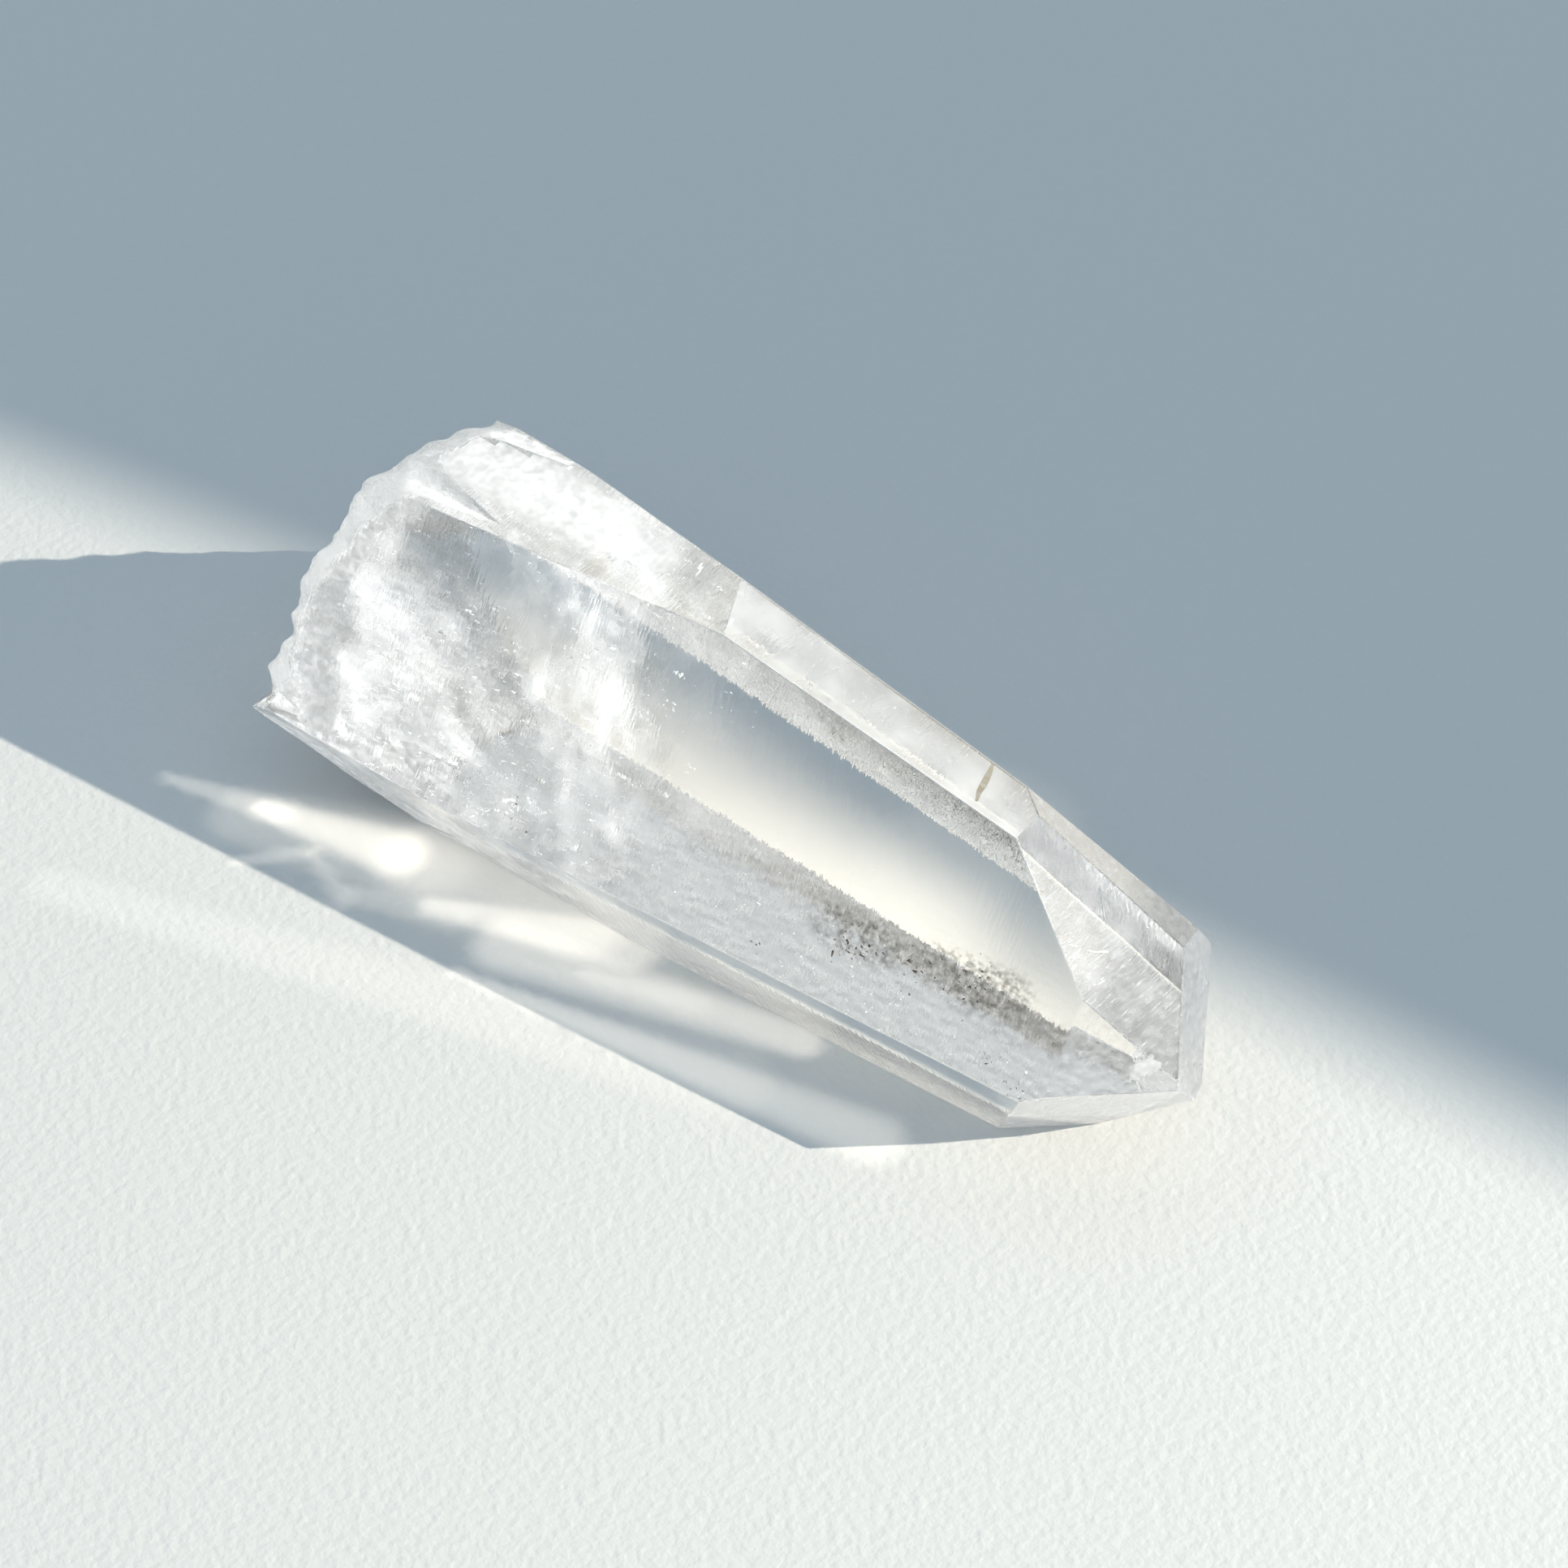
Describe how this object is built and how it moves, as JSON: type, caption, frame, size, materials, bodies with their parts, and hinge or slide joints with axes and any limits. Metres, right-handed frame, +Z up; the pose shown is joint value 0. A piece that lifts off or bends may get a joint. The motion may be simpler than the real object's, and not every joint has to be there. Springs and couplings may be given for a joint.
{
  "type": "quartz crystal point",
  "caption": "Single clear quartz crystal point lying on a prism face, with a flat-faced tip at one end and a rough broken root at the other.",
  "frame": {"origin": "bottom centre of the crystal's bounding box, on the surface it lies on", "axes": "+X along the crystal towards its point, +Z up, -Y towards the broad side face"},
  "size_m": [0.0884, 0.0364, 0.0326],
  "materials": {
    "clear_quartz": "transparent, natural glossy crystal faces with a frosty broken root"
  },
  "bodies": {
    "root": {"quartz_point": "clear_quartz"}
  },
  "joints": []
}
